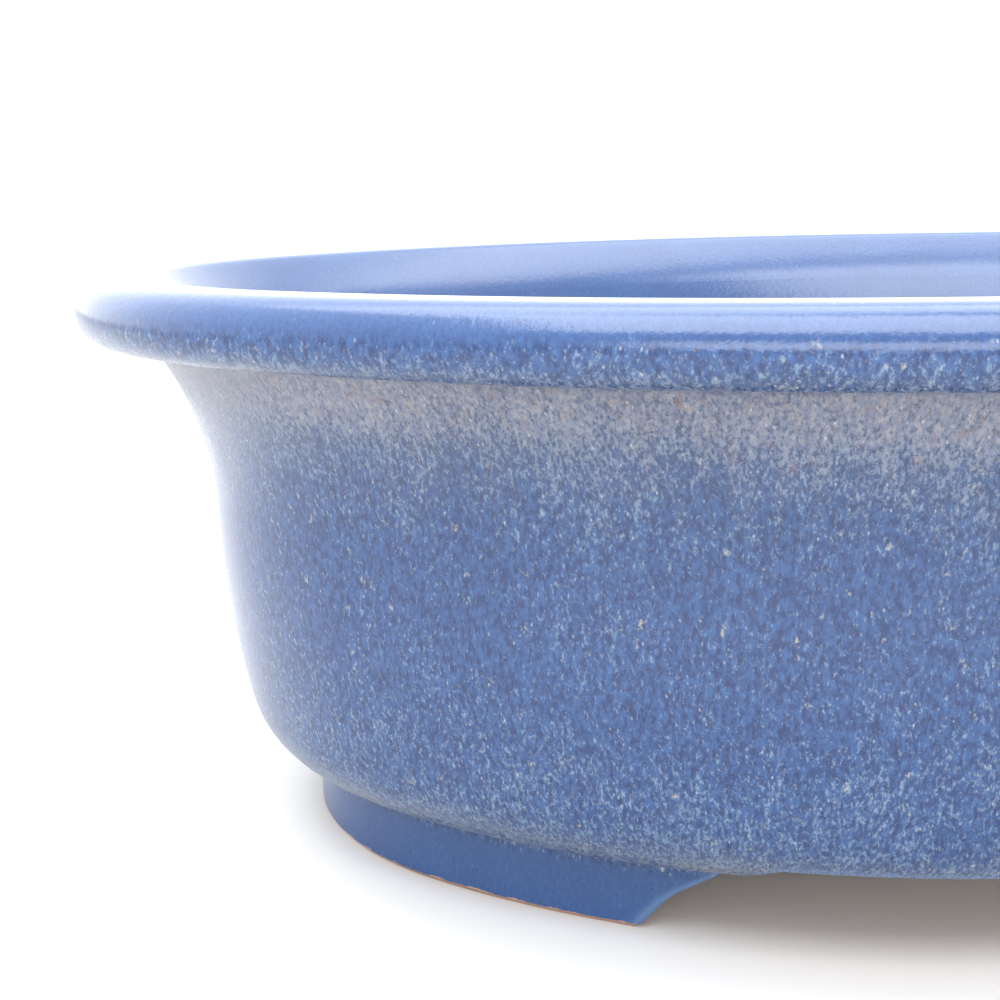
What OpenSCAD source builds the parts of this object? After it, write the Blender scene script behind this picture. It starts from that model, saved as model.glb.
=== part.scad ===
// Oval bonsai pot with a flat lip, two arched feet and screened drain holes.
// Origin: centre of the ground plane under the feet. X runs along the pot, Y across it, Z up.
// Every ceramic level is a parallel offset of one plan curve, the outer edge of the feet: a four-arc
// oval with tight arcs at the ends and wide arcs along the sides, which meet on 45-degree lines.
// Profiles are drawn as [offset, z], with the offset counted outwards from that curve.

/* [Plan] */
// Length over the feet
foot_length = 164; // [136:1:200]
// Width over the feet
foot_width = 112.2; // [93:0.1:135]

/* [Height] */
// Height from the ground to the top of the lip
pot_height = 70; // [58:1:90]
// Height of the feet, up to the crease under the wall
foot_height = 8.3; // [6.9:0.1:10]
// Height of the arched openings between the feet
arch_height = 11.3; // [10:0.1:13.6]

/* [Wall] */
// Thickness of the wall, square to its surface
wall_thickness = 6.5; // [5:0.1:8]
// Overhang of the wall beyond the feet at the crease
crease_step = 0.8; // [0.4:0.1:2]
// Radius of the round that turns the wall up from the crease
base_round = 11.4; // [9:0.1:14]
// Lean of the wall from the vertical where it leaves the crease, in degrees
base_lean = 73; // [62:1:76]
// Lean of the wall above its lower round, in degrees
wall_lean = 14; // [9:1:18]
// Lean of the wall at the neck, in degrees
neck_lean = 2; // [0:0.5:4]
// Height of the straight neck
neck_height = 3; // [1:0.5:6]
// Radius of the hollow curve under the lip
cove_radius = 35; // [28:0.5:42]
// Lean of the wall where it meets the lip, in degrees
cove_lean = 37.5; // [32:0.5:42]

/* [Lip] */
// Thickness of the lip
lip_thickness = 7.4; // [6.1:0.1:8.9]
// Overhang of the lip beyond the top of the wall
lip_overhang = 7.9; // [6.5:0.1:9.5]
// Width of the lip's flat top, round edges included
lip_width = 9.8; // [8:0.1:11.8]
// Radius of the lip's upper edges
lip_top_round = 2.6; // [1.5:0.1:2.8]
// Radius of the lip's lower edge
lip_under_round = 3.2; // [1.5:0.1:3.3]

/* [Floor] */
// Thickness of the floor slab
floor_thickness = 6.5; // [5:0.1:8]
// Radius of the round between the floor and the wall's inner face
inner_round = 5; // [3:0.5:7]
// Diameter of a drain hole
drain_hole_d = 18; // [16:0.5:22]
// Distance between the centres of the two drain holes
drain_spacing = 72; // [60:1:80]
// Diameter of a hole for a tree's anchor wire
wire_hole_d = 5; // [4.4:0.1:6]
// Distance between the wire holes along the pot
wire_spacing_x = 36; // [28:1:40]
// Distance between the wire holes across the pot
wire_spacing_y = 46; // [38:1:56]

/* [Feet] */
// Width of the foot band, from its outer to its inner face
foot_band = 8.5; // [7:0.1:11]
// Bevel at the ground edges of the feet
foot_bevel = 0.6; // [0.3:0.1:1]
// Length of each arched opening, measured at the ground
arch_length = 98.4; // [80:0.2:110]
// Radius of the arch's shoulders
arch_radius = 26; // [22:0.5:30]
// Slope of the arch's shoulder where it meets the underside of the floor, in degrees
arch_slope = 19; // [14:1:24]

/* [Drain screens] */
// Distance from strand to strand of the mesh
mesh_pitch = 3.2; // [3:0.1:3.6]
// Width of one strand
strand_width = 0.9; // [0.6:0.1:1]
// Thickness of the mesh
mesh_thickness = 1; // [0.8:0.1:1.4]
// Openings along each side of a screen, an odd number
mesh_cells = 9; // [9:2:11]

/* [Screen clips] */
// Diameter of the clip wire
wire_d = 1.5; // [1:0.1:1.6]
// Openings of the mesh between the middle and a clip leg
leg_cells = 2; // [1:1:2]
// Inside radius of the clip's bends
clip_bend = 0.3; // [0.2:0.05:0.35]
// Length of wire that a leg turns out under the floor, past the hole's edge
clip_grip = 6; // [4:0.5:9]

/* [Hidden] */
$fn = 96;
far = 400;           // longer than the pot, for cuts that run right through
steps = 8;           // straight pieces that stand for each curve of a profile

// Plan curve: end arcs about [+-arc_centre, 0], side arcs about [0, -+arc_centre]. The side arcs'
// radius is centre_gap more than the end arcs'. Both lengths are taken from a grid so fine that it
// can't be seen, at the first point where both are whole, so that the arcs end on the same line.
grid = 0.0001;
arc_fit = 0.0005;
function both_whole(n) = abs(n * sqrt(2) - round(n * sqrt(2))) < arc_fit;
function next_whole(n) = both_whole(n) ? n : next_whole(n + 1);
arc_steps = next_whole(round((foot_length - foot_width) / 2 / (2 - sqrt(2)) / grid));
arc_centre = arc_steps * grid;
centre_gap = round(arc_steps * sqrt(2)) * grid;
end_radius = foot_length / 2 - arc_centre;

// Heights that several pieces share
lip_under = pot_height - lip_thickness;
floor_top = arch_height + floor_thickness;

// A lean is a profile's slant from the vertical, towards the outside: this is the way its face looks
function outward(lean) = [cos(lean), -sin(lean)];
// Points of an arc that starts at p and turns from lean a to lean b with radius r
function bend(p, r, a, b, n = steps) =
    [for (i = [1:n]) let (t = a + (b - a) * i / n)
        p + sign(b - a) * r * (outward(a) - outward(t))];
function last(points) = points[len(points) - 1];
// Points of a rounded corner about centre c, from direction a to direction b
function corner(c, r, a, b) =
    [for (i = [0:steps]) let (t = a + (b - a) * i / steps) c + r * [cos(t), sin(t)]];

// Outer face of the wall, from the crease up to the lip
cove_rise = cove_radius * (sin(cove_lean) - sin(neck_lean));
crease = [crease_step, foot_height];
base_end = last(bend(crease, base_round, base_lean, wall_lean));
neck_z = lip_under - cove_rise - neck_height;
belly_radius = (neck_z - base_end[1]) / (sin(wall_lean) - sin(neck_lean));
neck_start = last(bend(base_end, belly_radius, wall_lean, neck_lean));
neck_end = neck_start + [neck_height * tan(neck_lean), neck_height];
wall_outer = concat(
    [crease],
    bend(crease, base_round, base_lean, wall_lean),
    bend(base_end, belly_radius, wall_lean, neck_lean),
    [neck_end],
    bend(neck_end, cove_radius, neck_lean, cove_lean));
wall_head = last(wall_outer);

// Inner face of the wall: a round from the floor, then the outer face moved in by the thickness
// The round from the floor meets the inner face where both have this lean
inner_lean = asin((base_end[1] + belly_radius * sin(wall_lean) - floor_top - inner_round)
                  / (belly_radius - wall_thickness - inner_round));
inner_start = last(bend(base_end, belly_radius, wall_lean, inner_lean))
              - wall_thickness * outward(inner_lean);
floor_edge = inner_start[0] - inner_round * cos(inner_lean);
cove_inner = neck_end - wall_thickness * outward(neck_lean);
inner_cove = cove_radius + wall_thickness;
// Lean of the inner face at the joint with the lip, which lies level with the lip's underside
joint_lean = asin(sin(neck_lean) + (lip_under - cove_inner[1]) / inner_cove);
wall_inner = concat(
    [[floor_edge, floor_top]],
    bend([floor_edge, floor_top], inner_round, 90, inner_lean),
    bend(inner_start, belly_radius - wall_thickness, inner_lean, neck_lean),
    [cove_inner],
    bend(cove_inner, inner_cove, neck_lean, joint_lean));
joint_inner = last(wall_inner);

// Lip
lip_outer = wall_head[0] + lip_overhang;
lip_inner = lip_outer - lip_width;
rim_lean = atan2(lip_inner - joint_inner[0], lip_thickness);

// Arch between the feet: the shoulders' centres lie below the ground
arch_centre_z = arch_height - arch_radius * cos(arch_slope);
arch_centre_x = arch_length / 2 - sqrt(arch_radius * arch_radius - arch_centre_z * arch_centre_z);

// Screens and clips
drain_x = drain_spacing / 2;
screen_side = mesh_cells * mesh_pitch + strand_width;
screen_top = floor_top + mesh_thickness;
wire_r = wire_d / 2;
bend_r = clip_bend + wire_r;
leg_y = leg_cells * mesh_pitch;
bar_z = screen_top + wire_r;
tail_z = arch_height - wire_r;
tail_end = drain_hole_d / 2 + clip_grip;

glaze = [0.26, 0.38, 0.68];
mesh_colour = [0.13, 0.13, 0.14];
wire_colour = [0.72, 0.72, 0.74];

// One end of the ring whose profile is the child
module end_arc()
    translate([arc_centre, 0, 0])
        rotate_extrude(angle = 90, start = -45)
            translate([end_radius, 0]) children();

// The stretch of the ring from the right-hand end's arc over an angle of "turn"
module side_arc(turn)
    translate([0, -arc_centre, 0])
        rotate_extrude(angle = turn, start = 45)
            translate([centre_gap, 0]) translate([end_radius, 0]) children();

module oval_ring()
    for (turn = [0, 180])
        rotate([0, 0, turn]) {
            end_arc() children();
            side_arc(90) children();
        }

// The half of the ring at positive X
module half_ring() {
    end_arc() children();
    side_arc(45) children();
    mirror([0, 1, 0]) side_arc(45) children();
}

// The plan curve's inside, moved out by "by"
module oval(by) {
    join_x = arc_centre + (end_radius + by) * cos(45);
    intersection() {
        translate([0, -arc_centre]) circle(centre_gap + end_radius + by, $fn = 360);
        translate([0, arc_centre]) circle(centre_gap + end_radius + by, $fn = 360);
        square([2 * join_x, foot_width * 2], center = true);
    }
    for (x = [-arc_centre, arc_centre])
        translate([x, 0]) circle(end_radius + by, $fn = 180);
}

// Outline of an arched opening in X and Z, open below the ground
module arch_outline()
    union() {
        translate([-arch_centre_x, -foot_height])
            square([2 * arch_centre_x, foot_height + arch_centre_z + arch_radius]);
        for (x = [-arch_centre_x, arch_centre_x])
            translate([x, arch_centre_z]) circle(arch_radius, $fn = 180);
    }

module wall_profile()
    polygon(concat(
        wall_outer,
        [for (i = [len(wall_inner) - 1:-1:0]) wall_inner[i]],
        [[floor_edge, foot_height]]));

module rim_profile()
    polygon(concat(
        [joint_inner, [wall_head[0], lip_under]],
        corner([lip_outer - lip_under_round, lip_under + lip_under_round], lip_under_round, -90, 0),
        corner([lip_outer - lip_top_round, pot_height - lip_top_round], lip_top_round, 0, 90),
        corner([lip_inner + lip_top_round, pot_height - lip_top_round], lip_top_round,
               90, 180 - rim_lean)));

module foot_profile()
    polygon([
        [-foot_bevel, 0],
        [0, foot_bevel],
        [0, foot_height],
        [floor_edge, foot_height],
        [floor_edge, arch_height],
        [-foot_band, arch_height],
        [-foot_band, foot_bevel],
        [-foot_band + foot_bevel, 0]]);

// Flat lip that closes the top of the wall
module rim_lip() color(glaze) oval_ring() rim_profile();

// Wall ring, trimmed level with the floor's underside where the arches are
module wall()
    color(glaze) difference() {
        oval_ring() wall_profile();
        rotate([90, 0, 0])
            linear_extrude(far, center = true)
                intersection() {
                    arch_outline();
                    translate([-far / 2, arch_height - far]) square(far);
                }
    }

// Slab inside the foot of the wall, with drain holes and holes for anchor wires
module floor_slab()
    color(glaze) difference() {
        translate([0, 0, arch_height]) linear_extrude(floor_thickness) oval(floor_edge);
        for (x = [-drain_x, drain_x])
            translate([x, 0, 0]) cylinder(h = far, d = drain_hole_d, center = true);
        for (x = [-wire_spacing_x / 2, wire_spacing_x / 2], y = [-wire_spacing_y / 2, wire_spacing_y / 2])
            translate([x, y, 0]) cylinder(h = far, d = wire_hole_d, center = true, $fn = 48);
    }

// Foot at the right-hand end, a band that wraps round the end of the oval between the two arches
module foot()
    color(glaze) difference() {
        half_ring() foot_profile();
        rotate([90, 0, 0]) linear_extrude(far, center = true) arch_outline();
    }

// Square of plastic mesh that keeps the soil in
module drain_screen(x)
    color(mesh_colour)
        translate([x, 0, floor_top])
            linear_extrude(mesh_thickness)
                difference() {
                    square(screen_side, center = true);
                    for (i = [0:mesh_cells - 1], j = [0:mesh_cells - 1])
                        translate([(i - (mesh_cells - 1) / 2) * mesh_pitch, (j - (mesh_cells - 1) / 2) * mesh_pitch])
                            square(mesh_pitch - strand_width, center = true);
                }

// A quarter bend of clip wire in the Y-Z plane, about [y, z], from direction "from" on
module wire_bend(y, z, from)
    translate([0, y, z])
        rotate([90, 0, 90])
            rotate([0, 0, from])
                rotate_extrude(angle = 90) translate([bend_r, 0]) circle(wire_r, $fn = 32);

// Staple of aluminium wire: a bar over the screen, legs down through the hole, ends turned out under the floor
module screen_clip(x)
    color(wire_colour)
        translate([x, 0, 0]) {
            translate([0, 0, bar_z])
                rotate([90, 0, 0]) cylinder(h = 2 * (leg_y - bend_r), r = wire_r, center = true, $fn = 32);
            for (side = [0, 180])
                rotate([0, 0, side]) {
                    wire_bend(leg_y - bend_r, bar_z - bend_r, 0);
                    translate([0, leg_y, tail_z + bend_r])
                        cylinder(h = bar_z - tail_z - 2 * bend_r, r = wire_r, $fn = 32);
                    wire_bend(leg_y + bend_r, tail_z + bend_r, 180);
                    translate([0, leg_y + bend_r, tail_z])
                        rotate([-90, 0, 0]) cylinder(h = tail_end - leg_y - bend_r, r = wire_r, $fn = 32);
                }
        }

rim_lip();
wall();
floor_slab();  // floor
mirror([1, 0, 0]) foot();  // foot_left
foot();  // foot_right
drain_screen(-drain_x);  // drain_screen_left
drain_screen(drain_x);  // drain_screen_right
screen_clip(-drain_x);  // screen_clip_left
screen_clip(drain_x);  // screen_clip_right
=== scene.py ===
"""Looks of an oval bonsai pot in speckled blue glaze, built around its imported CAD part.

Lengths are in millimetres until a mesh is written. Every ceramic level is a parallel offset of one
plan curve, the outer edge of the feet, and profiles are points of (offset outwards, height).
"""

import math

import bmesh
import bpy
from mathutils import Matrix, Vector, geometry, noise


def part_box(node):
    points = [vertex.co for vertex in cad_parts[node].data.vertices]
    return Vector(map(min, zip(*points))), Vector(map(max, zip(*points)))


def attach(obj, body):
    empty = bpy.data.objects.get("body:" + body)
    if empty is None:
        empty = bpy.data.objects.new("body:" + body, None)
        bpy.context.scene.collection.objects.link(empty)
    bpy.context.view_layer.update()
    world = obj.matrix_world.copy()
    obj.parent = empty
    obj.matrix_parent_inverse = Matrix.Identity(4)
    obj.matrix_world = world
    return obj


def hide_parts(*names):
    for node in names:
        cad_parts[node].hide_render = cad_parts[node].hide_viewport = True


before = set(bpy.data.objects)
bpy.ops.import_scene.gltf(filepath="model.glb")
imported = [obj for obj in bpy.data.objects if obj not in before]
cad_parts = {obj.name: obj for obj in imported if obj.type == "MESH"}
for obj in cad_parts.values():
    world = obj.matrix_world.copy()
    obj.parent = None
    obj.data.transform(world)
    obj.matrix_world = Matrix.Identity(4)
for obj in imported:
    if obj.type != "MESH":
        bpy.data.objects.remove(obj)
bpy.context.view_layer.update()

MM = 0.001


def box_mm(node):
    low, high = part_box(node)
    return low / MM, high / MM


# ---------------------------------------------------------------- sizes that the frame gives
rim_low, rim_high = box_mm("rim_lip")
floor_low, floor_high = box_mm("floor")
pot_height = rim_high.z
lip_under = rim_low.z
foot_height = box_mm("wall")[0].z
arch_height = floor_low.z
floor_top = floor_high.z
foot_length = 2 * box_mm("foot_right")[1].x
lip_outer = rim_high.x - foot_length / 2
foot_width = 2 * (rim_high.y - lip_outer)

# ---------------------------------------------------------------- sizes that the part's source gives
wall_thickness = 6.5
crease_step = 0.8
base_round = 11.4
base_lean = 73
wall_lean = 14
neck_lean = 2
neck_height = 3
cove_radius = 35
cove_lean = 37.5
lip_width = 9.8
lip_top_round = 2.6
lip_under_round = 3.2
inner_round = 5
throat_lean = 51         # lean at which the lip's round runs into its inner face, in degrees
drain_hole_d = 18
wire_hole_d = 5
wire_spacing_x = 36
wire_spacing_y = 46
foot_band = 8.5
foot_bevel = 0.6
arch_length = 98.4
arch_radius = 26
arch_slope = 19
mesh_pitch = 3.2
strand_width = 0.9
mesh_cells = 9
leg_cells = 2

# ---------------------------------------------------------------- softening that firing gives the edges
lip_outer_round = 4.0    # round of the lip's upper outer edge
lip_fillet_drop = 1.3    # height under the lip at which the glaze starts to fill the corner
foot_edge_round = 0.9    # round of the feet's outer edges where the arches cut them
arch_edge_round = 0.55   # round of the wall's lower edge over the arches
crease_edge_round = 0.15
hole_edge_round = 0.7
ring_step = 1.4          # longest side of a mesh face along the plan
profile_step = 1.1       # longest side of a mesh face along a profile
waviness = 0.22          # how far the hand-finished surface wanders inwards
wave_length = 17
glaze_depth_inside = 27  # how far the glaze runs down inside the pot from the top of the lip


# ---------------------------------------------------------------- plan curve
arc_centre = (foot_length - foot_width) / 2 / (2 - math.sqrt(2))
end_radius = foot_length / 2 - arc_centre
side_radius = math.sqrt(2) * arc_centre + end_radius
JOIN = math.pi / 4


def plan_point(turn, offset):
    """Point of the plan curve's parallel at offset, whose outward direction is turn."""
    turn = math.remainder(turn, 2 * math.pi)
    if abs(turn) <= JOIN:
        centre, radius = (arc_centre, 0), end_radius
    elif abs(turn) >= math.pi - JOIN:
        centre, radius = (-arc_centre, 0), end_radius
    else:
        centre, radius = (0, -math.copysign(arc_centre, turn)), side_radius
    reach = radius + offset
    return centre[0] + reach * math.cos(turn), centre[1] + reach * math.sin(turn)


def spread(stops, step_of):
    """Values from the first stop to the last, evenly spaced between stops, at most step_of(a, b) apart."""
    values = [stops[0]]
    for a, b in zip(stops, stops[1:]):
        count = max(1, math.ceil(abs(b - a) / step_of(a, b)))
        values += [a + (b - a) * i / count for i in range(1, count + 1)]
    return values


# ---------------------------------------------------------------- arches
arch_centre_z = arch_height - arch_radius * math.cos(math.radians(arch_slope))
arch_centre_x = arch_length / 2 - math.sqrt(arch_radius**2 - arch_centre_z**2)


def ease(low, high, value):
    """0 below low, 1 above high, and smooth between."""
    share = min(1.0, max(0.0, (value - low) / (high - low)))
    return share * share * (3 - 2 * share)


def between(stations, run):
    """Value at run on the smooth line through stations of (run, value)."""
    if run <= stations[0][0]:
        return stations[0][1]
    for (a, value_a), (b, value_b) in zip(stations, stations[1:]):
        if run <= b:
            return value_a + (value_b - value_a) * ease(a, b, run)
    return stations[-1][1]


# The glaze fills the arch's corner at the crease and thins again above it: (height, change of half width)
ARCH_SOFTENING = [
    (foot_height - 4.3, 0.0),
    (foot_height - 0.8, -1.2),
    (foot_height, -0.9),
    (arch_height - 1.3, 0.9),
    (arch_height, 2.0),
]


def arch_x(z):
    """Half the width of the arched opening at height z."""
    cut = arch_centre_x + math.sqrt(arch_radius**2 - (z - arch_centre_z) ** 2)
    return cut + between(ARCH_SOFTENING, z)


def arch_z(x):
    """Height of the wall's lower edge at x: on the feet at the ends, and over the arch in the middle."""
    low, high = foot_height, arch_height
    if abs(x) >= arch_x(low):
        return low
    if abs(x) <= arch_x(high):
        return high
    for _ in range(24):
        middle = (low + high) / 2
        if arch_x(middle) > abs(x):
            low = middle
        else:
            high = middle
    return low


# ---------------------------------------------------------------- profiles
def outward(lean):
    return Vector((math.cos(math.radians(lean)), -math.sin(math.radians(lean))))


def bend(start, radius, lean_a, lean_b):
    """Points of an arc that leaves start at lean_a and turns to lean_b."""
    turn = math.radians(abs(lean_b - lean_a))
    count = max(6, math.ceil(turn * radius / profile_step))
    side = math.copysign(radius, lean_b - lean_a)
    leans = [lean_a + (lean_b - lean_a) * i / count for i in range(1, count + 1)]
    return [Vector(start) + side * (outward(lean_a) - outward(lean)) for lean in leans]


def corner(centre, radius, from_deg, to_deg, count=10):
    turns = [math.radians(from_deg + (to_deg - from_deg) * i / count) for i in range(count + 1)]
    return [Vector(centre) + radius * Vector((math.cos(t), math.sin(t))) for t in turns]


def fine(points, step=profile_step):
    """The same line with its long stretches divided."""
    out = [points[0]]
    for a, b in zip(points, points[1:]):
        count = max(1, math.ceil((b - a).length / step))
        out += [a.lerp(b, i / count) for i in range(1, count + 1)]
    return out


def sine(lean):
    return math.sin(math.radians(lean))


crease = Vector((crease_step, foot_height))
base_bend = bend(crease, base_round, base_lean, wall_lean)
base_end = base_bend[-1]
cove_rise = cove_radius * (sine(cove_lean) - sine(neck_lean))
neck_z = lip_under - cove_rise - neck_height
belly_radius = (neck_z - base_end.y) / (sine(wall_lean) - sine(neck_lean))
belly_bend = bend(base_end, belly_radius, wall_lean, neck_lean)
neck_end = belly_bend[-1] + Vector((neck_height * math.tan(math.radians(neck_lean)), neck_height))
fillet_lean = math.degrees(math.asin(sine(cove_lean) - lip_fillet_drop / cove_radius))
cove_bend = bend(neck_end, cove_radius, neck_lean, fillet_lean)
fillet_radius = (lip_under - cove_bend[-1].y) / (1 - sine(fillet_lean))
fillet_bend = bend(cove_bend[-1], fillet_radius, fillet_lean, 90)
outer_line = fine([crease, *base_bend, *belly_bend, neck_end, *cove_bend, *fillet_bend])

inner_lean = math.degrees(
    math.asin(
        (base_end.y + belly_radius * sine(wall_lean) - floor_top - inner_round)
        / (belly_radius - wall_thickness - inner_round)
    )
)
inner_start = bend(base_end, belly_radius, wall_lean, inner_lean)[-1] - wall_thickness * outward(inner_lean)
floor_edge = inner_start.x - inner_round * math.cos(math.radians(inner_lean))
cove_inner = neck_end - wall_thickness * outward(neck_lean)
inner_cove = cove_radius + wall_thickness
joint_lean = math.degrees(math.asin(sine(neck_lean) + (lip_under - cove_inner.y) / inner_cove))
inner_line = fine(
    [
        Vector((floor_edge, floor_top)),
        *bend((floor_edge, floor_top), inner_round, 90, inner_lean),
        *bend(inner_start, belly_radius - wall_thickness, inner_lean, neck_lean),
        cove_inner,
        *bend(cove_inner, inner_cove, neck_lean, joint_lean),
    ]
)
joint_inner = inner_line[-1]
lip_inner = lip_outer - lip_width
lip_centre = Vector((lip_inner + lip_top_round, pot_height - lip_top_round))


def throat_curve(start, lean_a, end, lean_b, count=10):
    """Points of a smooth curve down from start to end, with the given leans there."""
    down_a = Vector((-sine(lean_a), -sine(90 - lean_a)))
    up_b = Vector((sine(lean_b), sine(90 - lean_b)))
    gap = end - start
    reach = (gap.x * up_b.y - gap.y * up_b.x) / (down_a.x * up_b.y - down_a.y * up_b.x)
    bow = start + reach * down_a
    shares = [i / count for i in range(1, count + 1)]
    return [start.lerp(bow, share).lerp(bow.lerp(end, share), share) for share in shares]


throat_start = lip_centre - lip_top_round * outward(throat_lean)
rim_line = fine(
    [
        outer_line[-1],
        *corner((lip_outer - lip_under_round, lip_under + lip_under_round), lip_under_round, -90, 0),
        *corner((lip_outer - lip_outer_round, pot_height - lip_outer_round), lip_outer_round, 0, 90, 16),
        *corner(lip_centre, lip_top_round, 90, 180 - throat_lean),
        *throat_curve(throat_start, throat_lean, joint_inner, joint_lean),
    ]
)


def lengths(points, start=0.0):
    """Distance along the line at each of its points."""
    out = [start]
    for a, b in zip(points, points[1:]):
        out.append(out[-1] + (b - a).length)
    return out


outer_run = lengths(outer_line)
rim_run = lengths(rim_line, outer_run[-1])
inner_run = lengths(inner_line[::-1], rim_run[-1])[::-1]
top_run = rim_run[min(range(len(rim_line)), key=lambda i: (-rim_line[i].y, i))]


def outer_at(run):
    """Point of the wall's outer line at a distance along it."""
    i = 0
    while i < len(outer_run) - 2 and outer_run[i + 1] < run:
        i += 1
    share = (run - outer_run[i]) / (outer_run[i + 1] - outer_run[i])
    return outer_line[i].lerp(outer_line[i + 1], min(1.0, max(0.0, share)))


LEAN_STEP = 0.3


def lean_at(run):
    """Lean of the outer line at a distance along it, in degrees."""
    ahead = outer_at(run + LEAN_STEP) - outer_at(run)
    return math.degrees(math.atan2(ahead.x, ahead.y))


def outer_run_at_height(z):
    i = 0
    while outer_line[i + 1].y < z:
        i += 1
    share = (z - outer_line[i].y) / (outer_line[i + 1].y - outer_line[i].y)
    return outer_run[i] + share * (outer_run[i + 1] - outer_run[i])


# ---------------------------------------------------------------- how the glaze lies
# Stations are (distance along the profile from the crease, value).
up = outer_run_at_height
glaze_end = top_run + glaze_depth_inside
throat = outer_run[-1]
# How thickly the pale speckle lies, 0 on plain glaze
SPECKLE_STATIONS = [
    (-1.5, 0.0),
    (-0.7, 0.40),
    (0.3, 0.78),
    (3.0, 0.80),
    (7.0, 0.58),
    (14.0, 0.44),
    (up(30), 0.30),
    (up(42), 0.25),
    (up(48), 0.40),
    (up(54), 0.52),
    (up(58), 0.74),
    (up(61.5), 0.80),
    (throat + 3, 0.76),
    (throat + 6, 0.54),
    (throat + 8, 0.34),
    (throat + 9.2, 0.14),
    (throat + 10.4, 0.0),
]
# How far the glaze breaks to beige: in the hollow under the lip, and a little at the crease
WARM_STATIONS = [
    (-1.0, 0.0),
    (0.5, 0.42),
    (4.0, 0.46),
    (10.0, 0.08),
    (14.0, 0.0),
    (up(44), 0.0),
    (up(49), 0.18),
    (up(53), 0.38),
    (up(56), 0.58),
    (up(58), 0.80),
    (up(61), 1.0),
    (throat, 0.95),
    (throat + 3.2, 0.85),
    (throat + 5, 0.45),
    (throat + 7, 0.12),
    (throat + 9, 0.0),
]


# ---------------------------------------------------------------- mesh making
def wave(x, y, z):
    """How far the surface lies inwards at a place, never outwards."""
    place = Vector((x, y, z)) / wave_length
    small = noise.noise(place * 3.1 + Vector((5, 2, 9)))
    return waviness * (0.5 + 0.38 * noise.noise(place) + 0.12 * small)


def write_mesh(name, points, faces, materials, layers=None, smooth_angle=40):
    """A mesh object from points in millimetres. layers gives each point's shading values."""
    mesh = bpy.data.meshes.new(name)
    mesh.from_pydata([Vector(p) * MM for p in points], [], faces)
    for key, values in (layers or {}).items():
        if isinstance(values[0], (int, float)):
            made = mesh.attributes.new(key, "FLOAT", "POINT")
            made.data.foreach_set("value", values)
        else:
            made = mesh.attributes.new(key, "FLOAT_VECTOR", "POINT")
            made.data.foreach_set("vector", [c for v in values for c in v])
    mesh.validate()
    mesh.shade_smooth()
    mesh.set_sharp_from_angle(angle=math.radians(smooth_angle))
    for material in materials:
        mesh.materials.append(material)
    piece = bpy.data.objects.new(name, mesh)
    bpy.context.scene.collection.objects.link(piece)
    return piece


def tube_faces(rings):
    """Faces between closed rings of point numbers."""
    n = len(rings[0])
    faces = []
    for a, b in zip(rings, rings[1:]):
        faces += [(a[i], a[(i + 1) % n], b[(i + 1) % n], b[i]) for i in range(n)]
    return faces


def face_outwards(piece):
    """Turns the faces of a closed mesh to look outwards."""
    work = bmesh.new()
    work.from_mesh(piece.data)
    bmesh.ops.recalc_face_normals(work, faces=work.faces)
    work.to_mesh(piece.data)
    work.free()
    return piece


def stand_for(piece, node):
    """The piece rides on the pot and is shown in place of the CAD node."""
    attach(face_outwards(piece), "root")
    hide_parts(node)
    return piece


FLOW_OFFSET = 12  # the parallel on which the glaze pattern is laid out
# Cover is the distance from the glaze's edge in millimetres, and negative on bare clay
GLAZED = 5.0
BARE = -2.0
FAR_BARE = -3.0


class Grid:
    """Points in rows and columns, with the glaze's values at each; the edge value is partly thin glaze and
    partly a painted highlight.
    """

    def __init__(self):
        self.points = []
        self.layers = {"flow": [], "cover": [], "speckle": [], "warm": [], "edge": []}

    def add(self, turn, offset, z, run, cover, edge, still=False):
        x, y = plan_point(turn, offset)
        if not still:
            x, y = plan_point(turn, offset - wave(x, y, z))
        flow_x, flow_y = plan_point(turn, FLOW_OFFSET)
        self.points.append((x, y, z))
        self.layers["flow"].append((flow_x, flow_y, run))
        self.layers["cover"].append(cover)
        self.layers["speckle"].append(between(SPECKLE_STATIONS, run))
        self.layers["warm"].append(between(WARM_STATIONS, run))
        self.layers["edge"].append(edge)
        return len(self.points) - 1

    def quads(self, rows, closed=True):
        """Faces between rows of point numbers, and from the last row to the first. closed joins row ends."""
        faces = []
        row_count, column_count = len(rows), len(rows[0])
        for i in range(row_count):
            upper, lower = rows[i], rows[(i + 1) % row_count]
            for j in range(column_count if closed else column_count - 1):
                k = (j + 1) % column_count
                faces.append((upper[j], upper[k], lower[k], lower[j]))
        return faces


def turn_step(a, b):
    middle = (a + b) / 2 % math.pi
    on_side = JOIN < middle < math.pi - JOIN
    return ring_step / ((side_radius if on_side else end_radius) + FLOW_OFFSET)


# Directions at which the wall's lower edge leaves the foot and reaches the arch's top
leave_turn = math.acos(arch_x(foot_height) / side_radius)
crown_turn = math.acos(arch_x(arch_height) / (side_radius + outer_at(outer_run_at_height(arch_height)).x))
quarter_stops = [0, JOIN, leave_turn, crown_turn, math.pi / 2]


def ring_turns():
    """Outward directions of a ring's columns, once round."""
    quarter = spread(quarter_stops, turn_step)
    half = quarter + [math.pi - t for t in quarter[-2::-1]]
    return half + [2 * math.pi - t for t in half[-2:0:-1]]


LIP_TOP_PAINTED_HIGHLIGHT = 0.25  # how far the top of the lip is painted towards the pale edge colour, a painted highlight
# Height down from the top of the lip over which that painted highlight fades
LIP_TOP_HIGHLIGHT_FADE = 1.6


def build_rim(materials):
    grid = Grid()
    turns = ring_turns()
    rows = []
    for point, run in zip(rim_line, rim_run):
        # Painted highlight: the top of the lip is made paler where the light's sheen falls on it
        edge = LIP_TOP_PAINTED_HIGHLIGHT * ease(pot_height - LIP_TOP_HIGHLIGHT_FADE, pot_height, point.y)
        rows.append([grid.add(t, point.x, point.y, run, glaze_end - run, edge) for t in turns])
    piece = write_mesh("glazed_rim_lip", grid.points, grid.quads(rows), materials, grid.layers)
    return stand_for(piece, "rim_lip")


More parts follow.
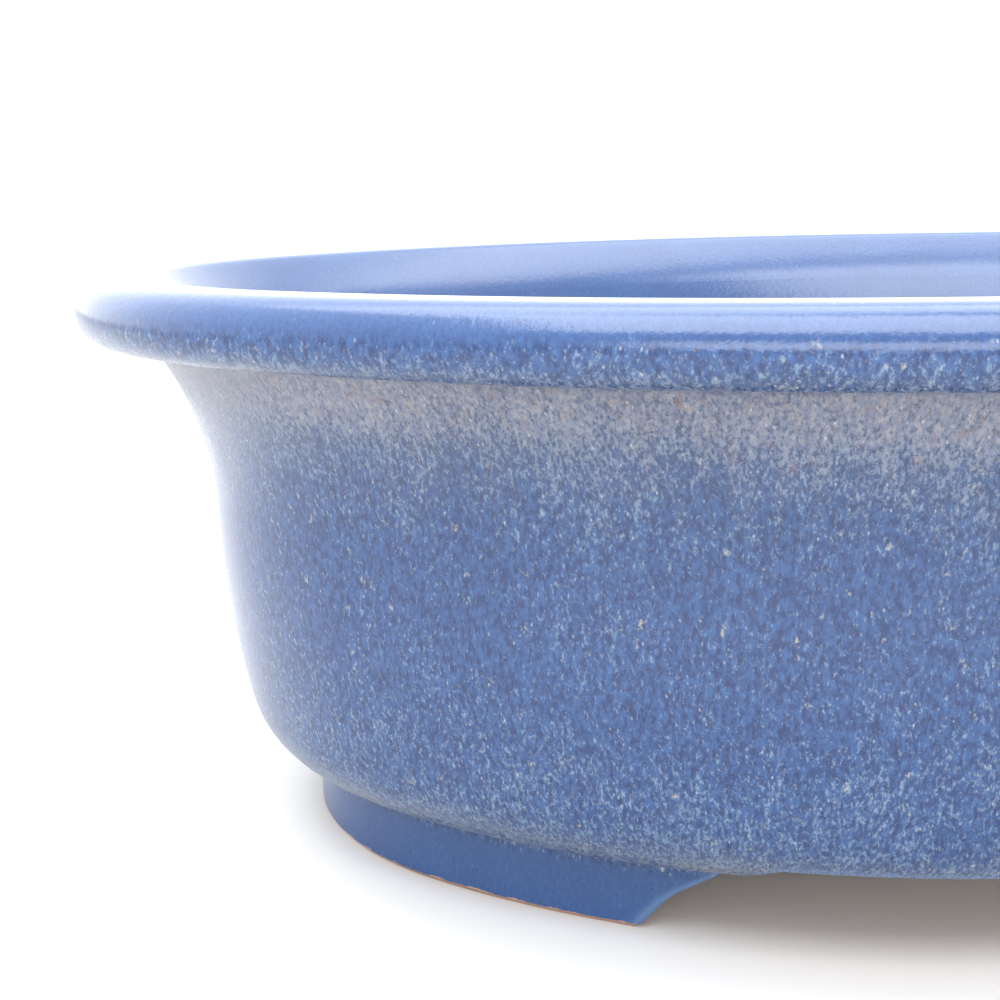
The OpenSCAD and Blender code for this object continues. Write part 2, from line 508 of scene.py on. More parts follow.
ROUND_ROWS = 5     # mesh rows round a softened edge
UNDER_ROWS = 4     # mesh rows across the wall's underside
LOW_ZONE = 14.0    # distance up the wall within which the rows follow the arched edge
EDGE_ROUNDS = 30   # steps that bring the wall's lower edge onto the arch, each half way
LIFT_FADE = 1.2    # height over the foot at which the wall's edge is fully free of it
EDGE_COVER = 1.2   # cover on the wall's lower edge
UNDER_LOSS = 1.7   # cover lost from there to the underside, where the edge is free
WALL_EDGE_BAND = (0.2, 1.1)  # distances up from the free edge between which its pale glaze fades


def wall_column(turn):
    """(offset, z, run, cover, edge) at each row of the wall, for one direction."""
    edge_z = foot_height
    for _ in range(EDGE_ROUNDS):
        offset = outer_at(outer_run_at_height(edge_z)).x
        edge_z = (edge_z + arch_z(plan_point(turn, offset)[0])) / 2
    lifted = ease(foot_height, foot_height + LIFT_FADE, edge_z)
    radius = crease_edge_round + (arch_edge_round - crease_edge_round) * lifted
    start_run = outer_run_at_height(edge_z)
    for _ in range(3):
        lean = lean_at(start_run)
        start_run = outer_run_at_height(edge_z + radius * (1 - sine(lean)))
    start = outer_at(start_run)
    centre = start - radius * outward(lean)
    column = []
    under = [floor_edge + (centre.x - floor_edge) * i / UNDER_ROWS for i in range(UNDER_ROWS)]
    for offset in under:
        z = min(edge_z, arch_z(plan_point(turn, offset)[0]))
        column.append((offset, z, start_run - radius, FAR_BARE, 0.0))
    for i in range(ROUND_ROWS):
        share = 1 - i / ROUND_ROWS
        point = centre + radius * outward(lean + (90 - lean) * share)
        cover = EDGE_COVER - UNDER_LOSS * lifted * share**2
        run = start_run - radius * math.radians(90 - lean) * share
        column.append((point.x, point.y, run, cover, lifted))
    low_rows = math.ceil(LOW_ZONE / profile_step)
    low_runs = [start_run + (LOW_ZONE - start_run) * i / low_rows for i in range(low_rows + 1)]
    for run in low_runs:
        point = outer_at(run)
        edge = lifted * (1 - ease(*WALL_EDGE_BAND, run - start_run))
        column.append((point.x, point.y, run, GLAZED, edge))
    for point, run in zip(outer_line, outer_run):
        if run > LOW_ZONE + profile_step / 2:
            column.append((point.x, point.y, run, GLAZED, 0.0))
    for point, run in zip(inner_line[::-1], inner_run[::-1]):
        column.append((point.x, point.y, run, glaze_end - run, 0.0))
    return column


def build_wall(materials):
    grid = Grid()
    columns = []
    for turn in ring_turns():
        columns.append([grid.add(turn, *row) for row in wall_column(turn)])
    rows = [list(row) for row in zip(*columns)]
    piece = write_mesh("glazed_wall", grid.points, grid.quads(rows), materials, grid.layers)
    return stand_for(piece, "wall")


WIPED_BAND = 0.60   # height over the ground up to which the feet are bare
NEAR_EDGE = 0.03    # share of a foot's half length that has closer columns, beside its arched edges
NEAR_COLUMNS = 4
CUT_COVER = 2.2     # cover at most where the round of an arched edge starts
CUT_LOSS = 2.6      # cover lost over that round
FOOT_EDGE_HIGHLIGHT_BAND = (0.9, 2.0)  # distances from an arched edge between which its painted highlight fades


def foot_line():
    """Profile of a foot as (offset, z, cover, on the outer face), from the ground up and round."""
    face = fine([Vector((0, foot_bevel)), Vector((0, foot_height))])
    inside = fine([Vector((-foot_band, foot_height)), Vector((-foot_band, foot_bevel))])
    line = [(-foot_bevel, 0.0, BARE, True)]
    line += [(p.x, p.y, p.y - WIPED_BAND, True) for p in face]
    line += [(floor_edge, foot_height, BARE, False), (floor_edge, arch_height, BARE, False)]
    line += [(-foot_band, arch_height, BARE, False)]
    line += [(p.x, p.y, FAR_BARE, False) for p in inside]
    line += [(foot_bevel - foot_band, 0.0, FAR_BARE, False)]
    return line


def foot_stations():
    """(place along the foot from -1 to 1, phase of the rounded edge or None) of each column."""
    phases = [math.pi / 2 * i / ROUND_ROWS for i in range(ROUND_ROWS, -1, -1)]
    count = math.ceil(2 * leave_turn / turn_step(0, JOIN))
    middle = [-1 + 2 * i / count for i in range(1, count)]
    middle = [place for place in middle if abs(place) < 1 - 1.4 * NEAR_EDGE]
    close = [1 - NEAR_EDGE * i / NEAR_COLUMNS for i in range(1, NEAR_COLUMNS + 1)]
    places = [-place for place in close] + middle + close[::-1]
    return [(-1, p) for p in phases] + [(place, None) for place in places] + [(1, p) for p in phases[::-1]]


def foot_column(grid, base_turn, side, place, phase):
    """One column of a foot's points, from the ground up the outer face and round."""
    column = []
    for offset, z, cover, outside in foot_line():
        reach = side_radius + offset
        full_turn = math.acos(arch_x(z) / reach)
        round_turn = foot_edge_round / reach
        turn = place * (full_turn - round_turn)
        inset = rolled = 0.0
        if phase is not None:
            rolled = math.sin(phase)
            turn = place * (full_turn - round_turn * (1 - rolled))
            inset = foot_edge_round * (1 - math.cos(phase)) if outside else 0.0
        from_edge = (full_turn - abs(turn)) * reach
        # Painted highlight: the outer face is made paler along its arched edges, where their round catches
        # the light
        edge = 1 - ease(*FOOT_EDGE_HIGHLIGHT_BAND, from_edge) if outside else 0.0
        cover = min(cover, CUT_COVER - CUT_LOSS * rolled**2)
        way = base_turn + side * turn
        column.append(grid.add(way, offset - inset, z, z - foot_height, cover, edge, still=not outside))
    return column


def build_foot(name, node, side, materials):
    """The foot at the end that side names, +1 at +X and -1 at -X."""
    grid = Grid()
    base_turn = 0 if side > 0 else math.pi
    columns = [foot_column(grid, base_turn, side, *station) for station in foot_stations()]
    rows = [list(row) for row in zip(*columns)]
    faces = grid.quads(rows, closed=False)
    for end in (columns[0], columns[-1]):
        faces += end_faces(end)
    piece = write_mesh(name, grid.points, faces, materials, grid.layers)
    return stand_for(piece, node)


def end_faces(column):
    """Faces across a foot's band, between its outer rows and the inner rows at the same heights."""
    count = len(fine([Vector((0, foot_bevel)), Vector((0, foot_height))])) + 1
    outer = column[:count]
    inner = column[::-1][:count]
    faces = [(outer[i], outer[i + 1], inner[i + 1], inner[i]) for i in range(count - 1)]
    faces.append((outer[-1], *column[count:count + 3], inner[-1]))
    return faces


def hole_list():
    """(x, y, radius) of each hole in the floor."""
    low, high = box_mm("drain_screen_right")
    drain_x = (low.x + high.x) / 2
    holes = [(side * drain_x, 0.0, drain_hole_d / 2) for side in (-1, 1)]
    for sx in (-1, 1):
        for sy in (-1, 1):
            holes.append((sx * wire_spacing_x / 2, sy * wire_spacing_y / 2, wire_hole_d / 2))
    return holes


floor_holes = hole_list()
FLOOR_STEP = 3.5      # spacing of the floor's mesh points
DRAIN_HOLE_SIDES = 48
WIRE_HOLE_SIDES = 28
HOLE_ROUND_STEPS = 4


def circle(x, y, radius, count):
    turns = [2 * math.pi * i / count for i in range(count)]
    return [(x + radius * math.cos(t), y + radius * math.sin(t)) for t in turns]


def hole_sides(radius):
    return DRAIN_HOLE_SIDES if radius > wire_hole_d else WIRE_HOLE_SIDES


def clear_of_holes(p, gap):
    return all(math.dist(p, (x, y)) > radius + gap for x, y, radius in floor_holes)


def inside_floor(p):
    """Whether a point lies within the floor's oval edge."""
    x, y = abs(p[0]), abs(p[1])
    if math.hypot(x, y + arc_centre) > side_radius + floor_edge:
        return False
    past_join = x - arc_centre > y
    return not past_join or math.hypot(x - arc_centre, y) <= end_radius + floor_edge


def floor_grid(outline):
    """Evenly spaced points of the floor that keep clear of its edge and holes."""
    half_x = int(foot_length / 2 / FLOOR_STEP)
    half_y = int(foot_width / 2 / FLOOR_STEP)
    out = []
    for i in range(-half_x, half_x + 1):
        for j in range(-half_y, half_y + 1):
            p = (i * FLOOR_STEP + (j % 2) * FLOOR_STEP / 2, j * FLOOR_STEP)
            in_field = inside_floor(p) and clear_of_holes(p, hole_edge_round + FLOOR_STEP * 0.6)
            if in_field and all(math.dist(p, q) >= FLOOR_STEP * 0.7 for q in outline[::2]):
                out.append(p)
    return out


def floor_plan():
    """The floor seen from above: points, triangles, and how many points are on its outline and its edges.

    The outline's points come first, then each hole's edge in the order of floor_holes, then the field.
    """
    outline = [plan_point(t, floor_edge) for t in ring_turns()[::2]]
    loops = [outline]
    loops += [circle(x, y, radius + hole_edge_round, hole_sides(radius)) for x, y, radius in floor_holes]
    flat, edges = [], []
    for loop in loops:
        start = len(flat)
        flat += loop
        edges += [(start + i, start + (i + 1) % len(loop)) for i in range(len(loop))]
    border = len(flat)
    flat += floor_grid(outline)
    flat = [Vector(p) for p in flat]
    verts, _, triangles, *_ = geometry.delaunay_2d_cdt(flat, edges, [], 0, 1e-5)
    kept = []
    for tri in triangles:
        centre = sum((verts[i] for i in tri), Vector((0, 0))) / 3
        if clear_of_holes(centre, 0.3) and inside_floor(centre):
            kept.append(tuple(tri))
    return verts, kept, len(outline), border


def hole_wall(points, x, y, radius, top_start, bottom_start):
    """Adds a hole's rounded wall to points, and gives its faces between the edges already there."""
    n = hole_sides(radius)
    phases = [math.pi / 2 * k / HOLE_ROUND_STEPS for k in range(1, HOLE_ROUND_STEPS + 1)]
    curve = [(hole_edge_round * (1 - math.cos(p)), hole_edge_round * (1 - math.sin(p))) for p in phases]
    levels = [(floor_top - drop, radius + widening) for drop, widening in curve]
    levels += [(arch_height + drop, radius + widening) for drop, widening in curve[::-1]]
    rings = [[top_start + i for i in range(n)]]
    for z, reach in levels:
        rings.append([len(points) + i for i in range(n)])
        points += [(*p, z) for p in circle(x, y, reach, n)]
    rings.append([bottom_start + i for i in range(n)])
    return tube_faces(rings)


def build_floor(materials):
    """Floor slab with softly rounded holes."""
    verts, triangles, size, border = floor_plan()
    count = len(verts)
    points = []
    for z, down in ((floor_top, 1), (arch_height, -1)):
        for i, v in enumerate(verts):
            sag = 0.0 if i < border else 0.5 * wave(v.x, v.y, z * 3)
            points.append((v.x, v.y, z - down * sag))
    faces = triangles + [tuple(count + i for i in tri[::-1]) for tri in triangles]
    faces += [(i, (i + 1) % size, count + (i + 1) % size, count + i) for i in range(size)]
    start = size
    for x, y, radius in floor_holes:
        faces += hole_wall(points, x, y, radius, start, count + start)
        start += hole_sides(radius)
    piece = write_mesh("bare_clay_floor", points, faces, materials)
    return stand_for(piece, "floor")


# Softened edges of the moulded mesh, as (drop from the face, distance) from the face down
OPENING_EDGE = [(0.0, 0.22), (0.077, 0.077), (0.22, 0.0)]
HEM_EDGE = [(0.0, 0.25), (0.09, 0.07), (0.28, 0.0)]
OPENING_ROUND = 0.45
OPENING_STEPS = 3
QUARTERS = [(1, 1), (-1, 1), (-1, -1), (1, -1)]


class SharedPoints:
    """Points that neighbouring faces share, by place."""

    def __init__(self):
        self.points = []
        self.numbers = {}

    def at(self, x, y, z):
        key = (round(x, 4), round(y, 4), round(z, 4))
        if key not in self.numbers:
            self.numbers[key] = len(self.points)
            self.points.append((x, y, z))
        return self.numbers[key]


def opening_ring(shared, cx, cy, half, z):
    """Rounded square of an opening, quarter by quarter."""
    ring = []
    for quarter, (sx, sy) in enumerate(QUARTERS):
        for k in range(OPENING_STEPS + 1):
            t = math.pi / 2 * (quarter + k / OPENING_STEPS)
            x = cx + sx * (half - OPENING_ROUND) + OPENING_ROUND * math.cos(t)
            y = cy + sy * (half - OPENING_ROUND) + OPENING_ROUND * math.sin(t)
            ring.append(shared.at(x, y, z))
    return ring


def cell_faces(shared, cx, cy, low_z, high_z):
    """One cell of the mesh: the wall of its opening, and the flat faces round it above and below."""
    half_open = (mesh_pitch - strand_width) / 2
    levels = [(high_z - drop, widening) for drop, widening in OPENING_EDGE]
    levels += [(low_z + drop, widening) for drop, widening in OPENING_EDGE[::-1]]
    rings = [opening_ring(shared, cx, cy, half_open + widening, z) for z, widening in levels]
    faces = tube_faces(rings)
    n = OPENING_STEPS + 1
    half = mesh_pitch / 2
    for ring, z, flip in ((rings[0], high_z, False), (rings[-1], low_z, True)):
        square = [shared.at(cx + sx * half, cy + sy * half, z) for sx, sy in QUARTERS]
        for q in range(4):
            group = ring[q * n:(q + 1) * n]
            next_first = ring[(q + 1) * n % len(ring)]
            fan = [(square[q], group[k + 1], group[k]) for k in range(OPENING_STEPS)]
            fan.append((square[q], square[(q + 1) % 4], next_first, group[-1]))
            faces += [face[::-1] if flip else face for face in fan]
    return faces


def hem_faces(shared, middle, hem, low_z, high_z):
    """The mesh's solid border, hem wide."""
    reach = mesh_cells * mesh_pitch / 2
    levels = [(high_z, 0.0)]
    levels += [(high_z - drop, hem - inset) for drop, inset in HEM_EDGE]
    levels += [(low_z + drop, hem - inset) for drop, inset in HEM_EDGE[::-1]]
    levels += [(low_z, 0.0)]
    ticks = [i * mesh_pitch - reach for i in range(mesh_cells)]
    rings = []
    for z, out_by in levels:
        stretch = (reach + out_by) / reach
        ring = []
        for side in range(4):
            turn = Matrix.Rotation(side * math.pi / 2, 2)
            for tick in ticks:
                along = tick * stretch if tick == -reach else tick
                v = turn @ Vector((reach * stretch, along))
                ring.append(shared.at(middle[0] + v.x, middle[1] + v.y, z))
        rings.append(ring)
    return tube_faces(rings)


def build_screen(name, node, material):
    """Moulded plastic mesh: every opening is a rounded square with softened edges."""
    low, high = box_mm(node)
    middle = ((low.x + high.x) / 2, (low.y + high.y) / 2)
    shared = SharedPoints()
    centres = [(i - (mesh_cells - 1) / 2) * mesh_pitch for i in range(mesh_cells)]
    faces = []
    for x in centres:
        for y in centres:
            faces += cell_faces(shared, middle[0] + x, middle[1] + y, low.z, high.z)
    hem = (high.x - low.x) / 2 - mesh_cells * mesh_pitch / 2
    faces += hem_faces(shared, middle, hem, low.z, high.z)
    piece = write_mesh(name, shared.points, faces, [material])
    return stand_for(piece, node)


def rounded_path(corners, radius, steps=7):
    """The path through corners with its bends rounded."""
    out = [Vector(corners[0])]
    for a, b, c in zip(corners, corners[1:], corners[2:]):
        a, b, c = Vector(a), Vector(b), Vector(c)
        before, after = (a - b).normalized(), (c - b).normalized()
        centre = b + (before + after) * radius
        for i in range(steps + 1):
            t = math.pi / 2 * i / steps
            out.append(centre - after * radius * math.cos(t) - before * radius * math.sin(t))
    out.append(Vector(corners[-1]))
    return out


WIRE_SIDES = 20
WIRE_STEP = 0.8   # longest side of a mesh face along the wire
WIRE_BEND = 0.3   # the bends' inner radius
TIP_SIZE = 0.72   # radius of the wire's cut tips, as a share of the wire's own


def build_clip(name, node, material):
    """Staple of round aluminium wire over the screen and down through the hole."""
    low, high = box_mm(node)
    wire_r = (high.x - low.x) / 2
    x = (high.x + low.x) / 2
    leg_y = leg_cells * mesh_pitch
    bar_z, tail_z = high.z - wire_r, low.z + wire_r
    corners = [(x, low.y, tail_z), (x, -leg_y, tail_z), (x, -leg_y, bar_z)]
    corners += [(x, leg_y, bar_z), (x, leg_y, tail_z), (x, high.y, tail_z)]
    path = fine(rounded_path(corners, wire_r + WIRE_BEND), WIRE_STEP)
    points, rows = [], []
    across = Vector((1, 0, 0))
    for i, p in enumerate(path):
        ahead = (path[min(i + 1, len(path) - 1)] - path[max(i - 1, 0)]).normalized()
        up = across.cross(ahead)
        size = wire_r * (TIP_SIZE if i in (0, len(path) - 1) else 1.0)
        row = []
        for k in range(WIRE_SIDES):
            t = 2 * math.pi * k / WIRE_SIDES
            row.append(len(points))
            points.append(p + size * (across * math.cos(t) + up * math.sin(t)))
        rows.append(row)
    faces = tube_faces(rows) + [tuple(rows[0][::-1]), tuple(rows[-1])]
    piece = write_mesh(name, points, faces, [material], smooth_angle=50)
    return stand_for(piece, node)


# ---------------------------------------------------------------- material making
class Shader:
    """A new material with one Principled shader, and short ways to add nodes to it."""

    def __init__(self, name, **principled):
        self.material = bpy.data.materials.new(name)
        self.material.use_nodes = True
        self.tree = self.material.node_tree
        self.surface = self.tree.nodes["Principled BSDF"]
        for key, value in principled.items():
            self.surface.inputs[key.replace("_", " ")].default_value = value

    def add(self, kind, sockets=None, **settings):
        made = self.tree.nodes.new(kind)
        for key, value in settings.items():
            setattr(made, key, value)
        for key, value in (sockets or {}).items():
            self.put(made.inputs[key], value)
        return made

    def put(self, socket, value):
        if isinstance(value, bpy.types.NodeSocket):
            self.tree.links.new(value, socket)
        else:
            socket.default_value = value

    def math(self, operation, a, b):
        made = self.add("ShaderNodeMath", operation=operation)
        self.put(made.inputs[0], a)
        self.put(made.inputs[1], b)
        return made.outputs[0]

    def plus(self, a, b):
        return self.math("ADD", a, b)

    def minus(self, a, b):
        return self.math("SUBTRACT", a, b)

    def times(self, a, b):
        return self.math("MULTIPLY", a, b)

    def layer(self, name):
        """The values that the mesh holds under this name."""
        return self.add("ShaderNodeAttribute", attribute_name=name, attribute_type="GEOMETRY")

    def here(self):
        """The place on the piece, in millimetres."""
        place = self.add("ShaderNodeTexCoord").outputs["Object"]
        return self.stretch(place, (1 / MM,) * 3)

    def stretch(self, vector, scale, shift=(0, 0, 0)):
        made = self.add("ShaderNodeMapping", {"Vector": vector, "Scale": scale, "Location": shift})
        return made.outputs[0]

    def noise(self, vector, scale, detail=2.0, roughness=0.55):
        sockets = {"Vector": vector, "Scale": scale, "Detail": detail, "Roughness": roughness}
        return self.add("ShaderNodeTexNoise", sockets).outputs["Fac"]

    def cells(self, vector, scale):
        return self.add("ShaderNodeTexVoronoi", {"Vector": vector, "Scale": scale}).outputs["Distance"]

    def ramp(self, value, low, high, start=0.0, end=1.0):
        """start below low, end above high, smooth between."""
        sockets = {"Value": value, "From Min": low, "From Max": high, "To Min": start, "To Max": end}
        return self.add("ShaderNodeMapRange", sockets, interpolation_type="SMOOTHSTEP").outputs["Result"]

    def mix(self, share, a, b):
        made = self.add("ShaderNodeMix", data_type="RGBA")
        self.put(made.inputs[0], share)
        self.put(made.inputs[6], (*a, 1) if isinstance(a, tuple) else a)
        self.put(made.inputs[7], (*b, 1) if isinstance(b, tuple) else b)
        return made.outputs[2]

    def blend(self, share, a, b):
        """Number between a and b."""
        made = self.add("ShaderNodeMix", data_type="FLOAT")
        self.put(made.inputs[0], share)
        self.put(made.inputs[2], a)
        self.put(made.inputs[3], b)
        return made.outputs[0]

    def finish(self, colour, roughness, height, relief_mm):
        self.put(self.surface.inputs["Base Color"], colour)
        self.put(self.surface.inputs["Roughness"], roughness)
        bump = self.add("ShaderNodeBump", {"Strength": 1.0, "Distance": relief_mm * MM, "Height": height})
        self.put(self.surface.inputs["Normal"], bump.outputs[0])
        return self.material


# Colours as the surface reflects them, linear, except that the pale edge blue is also a painted highlight
BLUE = (0.011, 0.040, 0.130)
LIGHT_BLUE = (0.019, 0.060, 0.170)
DEEP_BLUE = (0.005, 0.018, 0.076)
# Pale blue of thin glaze on the wall's lower edge, also painted on the lip's top and the feet's arched edges
# as a highlight
THIN_GLAZE_AND_HIGHLIGHT_BLUE = (0.065, 0.130, 0.250)
PALE = (0.150, 0.212, 0.275)
BEIGE = (0.228, 0.220, 0.234)
SHADE_GREY = (0.040, 0.058, 0.100)
RUST = (0.170, 0.085, 0.055)
CREAM = (0.310, 0.305, 0.250)
FLECK = (0.360, 0.380, 0.390)
CLAY = (0.330, 0.185, 0.125)
CLAY_DARK = (0.265, 0.140, 0.092)
CLAY_PALE = (0.400, 0.260, 0.185)


def clay_looks(shader, place):
    """(colour, height) of bare stoneware."""
    cloud = shader.noise(place, 0.06, 3)
    grain = shader.noise(place, 2.6, 3, 0.7)
    grog = shader.cells(place, 0.8)
    colour = shader.mix(shader.ramp(cloud, 0.35, 0.65), CLAY_DARK, CLAY)
    colour = shader.mix(shader.ramp(grain, 0.45, 0.70, 0.0, 0.55), colour, CLAY_PALE)
    colour = shader.mix(shader.ramp(grog, 0.06, 0.16, 0.6, 0.0), colour, CLAY_DARK)
    return colour, shader.plus(grain, shader.ramp(grog, 0.0, 0.2, -0.6, 0.0))


def glaze_looks(s, flow):
    """(colour, share of pale grains, share of beige, height) of the glaze, its colour with a painted
    highlight on the lip's top and the feet's arched edges.
    """
    speckle = s.layer("speckle").outputs["Fac"]
    warm = s.layer("warm").outputs["Fac"]
    edge = s.layer("edge").outputs["Fac"]

    # Fields that lie along the flow of the glaze, drawn out downwards
    fall = s.stretch(flow, (1, 1, 0.55))
    fall_far = s.stretch(flow, (1, 1, 0.22), (31, 7, 3))
    grain = s.noise(fall, 3.6, 3, 0.7)
    dots = s.noise(s.stretch(fall, (1, 1, 1), (13, 29, 7)), 2.5, 3, 0.75)
    mottle = s.noise(s.stretch(fall, (1, 1, 1), (41, 5, 23)), 1.7, 4, 0.75)
    streaks = s.noise(fall_far, 0.55, 3, 0.55)
    clouds = s.noise(flow, 0.075, 2)

    # Where the pale grains and the small flecks lie
    share = s.plus(speckle, s.times(s.minus(clouds, 0.5), 0.40))
    share = s.plus(share, s.times(s.minus(streaks, 0.5), 0.50))
    on_speckled = s.ramp(speckle, 0.02, 0.25)
    field = s.plus(s.times(dots, 0.80), s.times(grain, 0.20))
    threshold = s.minus(0.67, s.times(share, 0.30))
    amount = s.ramp(s.minus(field, threshold), -0.07, 0.13)
    amount = s.times(amount, on_speckled)
    flecks = s.ramp(s.cells(s.stretch(fall, (1, 1, 1), (4, 19, 27)), 1.1), 0.05, 0.16, 1.0, 0.0)
    flecks = s.times(flecks, s.ramp(s.plus(share, streaks), 0.55, 1.05))

    # The ground and the grains, which turn grey and beige in the hollow under the lip
    tint = s.plus(warm, s.times(s.minus(streaks, 0.5), 0.7))
    tint = s.times(s.ramp(tint, 0.0, 1.0), s.ramp(warm, 0.0, 0.2))
    ground = s.mix(s.ramp(mottle, 0.36, 0.64), DEEP_BLUE, LIGHT_BLUE)
    plain = s.mix(s.ramp(s.plus(grain, s.times(clouds, 0.3)), 0.48, 0.86), BLUE, LIGHT_BLUE)
    ground = s.mix(on_speckled, plain, ground)
    ground = s.mix(s.times(tint, 0.90), ground, SHADE_GREY)
    grains = s.mix(tint, PALE, BEIGE)
    grains = s.mix(s.ramp(mottle, 0.42, 0.62, 0.45, 0.0), grains, LIGHT_BLUE)
    colour = s.mix(s.times(amount, 0.80), ground, grains)

    # Cream clots, flecks, rusty spots, and paler blue on the edges: thin glaze on the wall's lower edge,
    # painted highlight on the lip's top and the feet's arched edges
    clot_field = s.noise(s.stretch(flow, (1, 1, 0.7), (3, 11, 5)), 0.80, 4, 0.7)
    clots = s.times(s.ramp(clot_field, 0.62, 0.74), on_speckled)
    colour = s.mix(s.times(clots, 0.70), colour, CREAM)
    colour = s.mix(s.times(flecks, 0.55), colour, FLECK)

    rust_field = s.noise(s.stretch(flow, (1, 1, 0.8), (17, 2, 8)), 0.75, 4, 0.75)
    rust = s.times(s.ramp(rust_field, 0.54, 0.72), tint)
    colour = s.mix(s.times(rust, 0.50), colour, RUST)
    # Painted highlight: the pale edge colour on the lip's top and the arched foot edges stands for light,
    # next to real thin glaze on the wall's edge
    colour = s.mix(s.times(edge, 0.75), colour, THIN_GLAZE_AND_HIGHLIGHT_BLUE)
    peel = s.noise(flow, 1.4, 2)
    return colour, amount, tint, s.plus(s.times(field, 0.60), s.times(peel, 0.5))


def glaze_material():
    """Satin blue glaze that breaks to pale speckle, over stoneware that shows where it stops."""
    s = Shader("speckled_blue_glaze", IOR=1.55)
    cover = s.layer("cover").outputs["Fac"]
    colour, amount, tint, glaze_height = glaze_looks(s, s.layer("flow").outputs["Vector"])
    place = s.here()
    clay, clay_height = clay_looks(s, place)
    ragged = s.times(s.minus(s.noise(place, 0.5, 3), 0.5), 1.1)
    glazed = s.ramp(s.plus(cover, ragged), -0.12, 0.12)
    colour = s.mix(glazed, clay, colour)
    gloss = s.blend(amount, 0.18, 0.38)
    gloss = s.plus(gloss, s.times(tint, 0.10))
    roughness = s.blend(glazed, 0.88, gloss)
    height = s.blend(glazed, clay_height, glaze_height)
    return s.finish(colour, roughness, height, 0.05)


def clay_material():
    s = Shader("bare_stoneware", IOR=1.45)
    place = s.here()
    colour, grain = clay_looks(s, place)
    drag = s.noise(s.stretch(place, (0.25, 1, 1)), 0.9, 4, 0.6)
    height = s.plus(s.times(grain, 0.5), drag)
    roughness = s.ramp(grain, 0.2, 0.9, 0.82, 0.94)
    return s.finish(colour, roughness, height, 0.16)


def mesh_material():
    """Moulded black plastic, a little dusty."""
    s = Shader("drain_mesh_plastic", IOR=1.46)
    place = s.here()
    dust = s.noise(place, 0.35, 3)
    grain = s.noise(place, 5.0, 2)
    colour = s.mix(s.ramp(dust, 0.42, 0.72), (0.016, 0.017, 0.019), (0.070, 0.066, 0.060))
    roughness = s.ramp(dust, 0.35, 0.70, 0.42, 0.66)
    return s.finish(colour, roughness, grain, 0.02)


def wire_material():
    """Soft aluminium wire with drawing lines and a dull skin."""
    s = Shader("aluminium_wire", Metallic=1.0)
    place = s.here()
    lines = s.noise(s.stretch(place, (9, 0.5, 0.5)), 1.0, 3)
    dull = s.noise(place, 0.6, 3)
    colour = s.mix(s.ramp(dull, 0.35, 0.70), (0.62, 0.62, 0.63), (0.40, 0.40, 0.41))
    roughness = s.ramp(dull, 0.3, 0.7, 0.30, 0.48)
    return s.finish(colour, roughness, lines, 0.015)


def table_material():
    s = Shader("pale_table", IOR=1.45)
    place = s.here()
    tooth = s.noise(place, 0.8, 3)
    colour = s.mix(s.ramp(s.noise(place, 0.004, 2), 0.3, 0.7), (0.52, 0.52, 0.522), (0.55, 0.55, 0.552))
    roughness = s.ramp(tooth, 0.3, 0.7, 0.60, 0.72)
    return s.finish(colour, roughness, tooth, 0.02)


# ---------------------------------------------------------------- camera, floor and light
camera_place = (-85.2, -187.9, 79.6)
camera_yaw = 8.46       # degrees from +Y towards +X
camera_pitch = 11.94    # degrees down
camera_roll = -1.06     # degrees
camera_lens = 53.4
FLOOR_SIDE = 6000


def add_camera():
    yaw, pitch, roll = (math.radians(a) for a in (camera_yaw, camera_pitch, camera_roll))
    ahead = Vector((math.sin(yaw) * math.cos(pitch), math.cos(yaw) * math.cos(pitch), -math.sin(pitch)))
    level = ahead.cross(Vector((0, 0, 1))).normalized()
    rise = level.cross(ahead)
    right = level * math.cos(roll) + rise * math.sin(roll)
    up = rise * math.cos(roll) - level * math.sin(roll)
    data = bpy.data.cameras.new("camera")
    data.sensor_width = 36
    data.lens = camera_lens
    data.clip_start = 0.01
    data.clip_end = 50
    camera = bpy.data.objects.new("camera", data)
    turned = Matrix((right, up, -ahead)).transposed().to_4x4()
    camera.matrix_world = Matrix.Translation(Vector(camera_place) * MM) @ turned
    bpy.context.scene.collection.objects.link(camera)
    bpy.context.scene.camera = camera


def add_floor():
    half = FLOOR_SIDE / 2
    corners = [(-half, -half, 0), (half, -half, 0), (half, half, 0), (-half, half, 0)]
    table = write_mesh("table", corners, [(0, 1, 2, 3)], [table_material()])


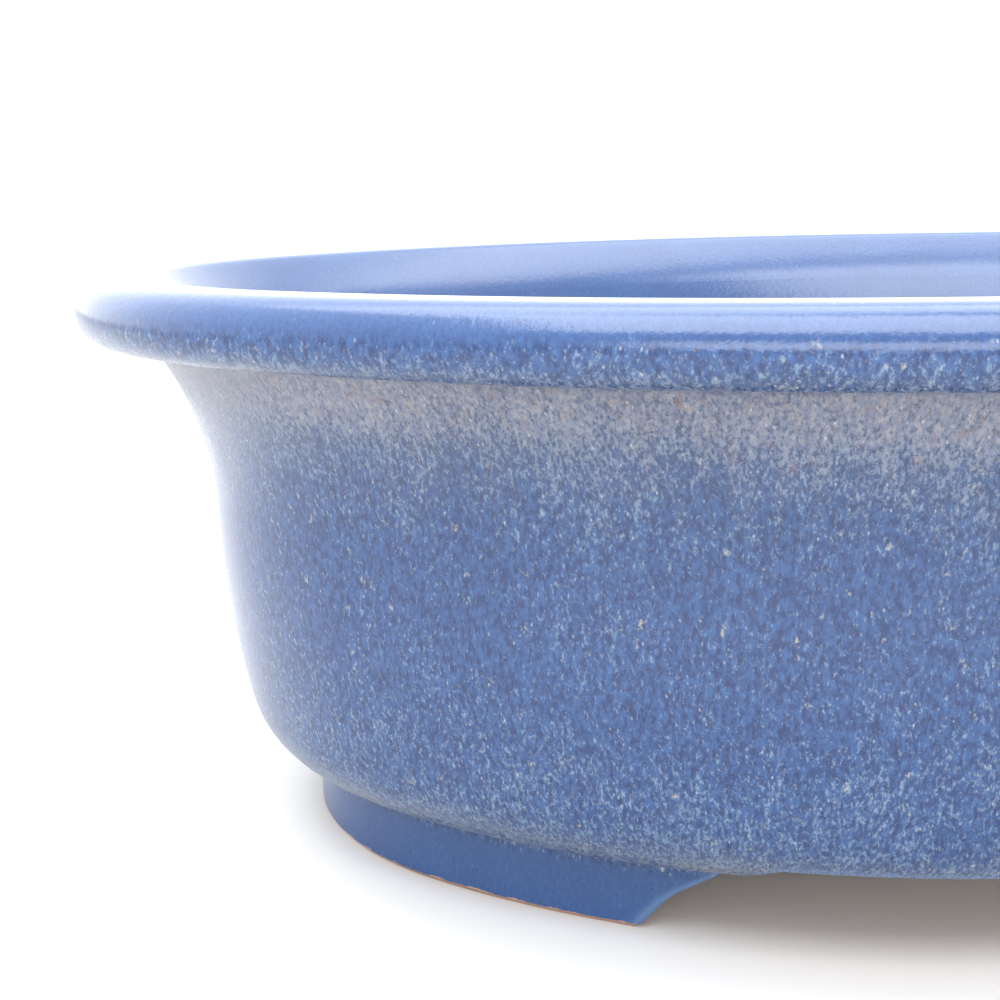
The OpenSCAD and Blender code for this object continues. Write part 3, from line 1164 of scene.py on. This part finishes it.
def add_area_light(name, place, aim, sides, power):
    data = bpy.data.lights.new(name, "AREA")
    data.shape = "RECTANGLE"
    data.size, data.size_y = (side * MM for side in sides)
    data.energy = power
    light = bpy.data.objects.new(name, data)
    light.location = Vector(place) * MM
    light.rotation_mode = "QUATERNION"
    light.rotation_quaternion = (Vector(aim) - Vector(place)).to_track_quat("-Z", "Y")
    bpy.context.scene.collection.objects.link(light)


BRIGHT_WAY = (-0.35, 0.75, 0.56)  # the studio's tent is brightest behind the pot and above it
# How far a direction points the bright way, and the tent's strength there
TENT_DIM = (-0.4, 1.4)
TENT_BRIGHT = (0.9, 2.9)
# name, place, aim, (width, height), power in watts
SOFTBOXES = [
    ("key_softbox", (-120, -360, 900), (0, 0, 30), (1000, 760), 14),
    ("top_softbox", (0, 250, 850), (0, 0, 30), (1100, 420), 5),
    ("low_fill", (-100, -800, 260), (0, 0, 20), (1000, 250), 4),
]


def add_light():
    world = bpy.data.worlds.new("studio")
    world.use_nodes = True
    nodes, links = world.node_tree.nodes, world.node_tree.links
    background = nodes["Background"]
    background.inputs["Color"].default_value = (1.0, 1.0, 1.0, 1)
    way = nodes.new("ShaderNodeTexCoord").outputs["Generated"]
    facing = nodes.new("ShaderNodeVectorMath")
    facing.operation = "DOT_PRODUCT"
    facing.inputs[1].default_value = BRIGHT_WAY
    links.new(way, facing.inputs[0])
    strength = nodes.new("ShaderNodeMapRange")
    links.new(facing.outputs["Value"], strength.inputs["Value"])
    for key, (share, level) in (("Min", TENT_DIM), ("Max", TENT_BRIGHT)):
        strength.inputs["From " + key].default_value = share
        strength.inputs["To " + key].default_value = level
    links.new(strength.outputs["Result"], background.inputs["Strength"])
    bpy.context.scene.world = world
    for softbox in SOFTBOXES:
        add_area_light(*softbox)


# ---------------------------------------------------------------- the pot
bpy.context.scene.view_settings.view_transform = "Standard"
add_camera()
add_floor()
add_light()

glaze = glaze_material()
screen_plastic = mesh_material()
clip_metal = wire_material()
build_rim([glaze])
build_wall([glaze])
build_floor([clay_material()])
for end, end_side in (("left", -1), ("right", 1)):
    build_foot("glazed_foot_" + end, "foot_" + end, end_side, [glaze])
    build_screen("mesh_screen_" + end, "drain_screen_" + end, screen_plastic)
    build_clip("wire_clip_" + end, "screen_clip_" + end, clip_metal)
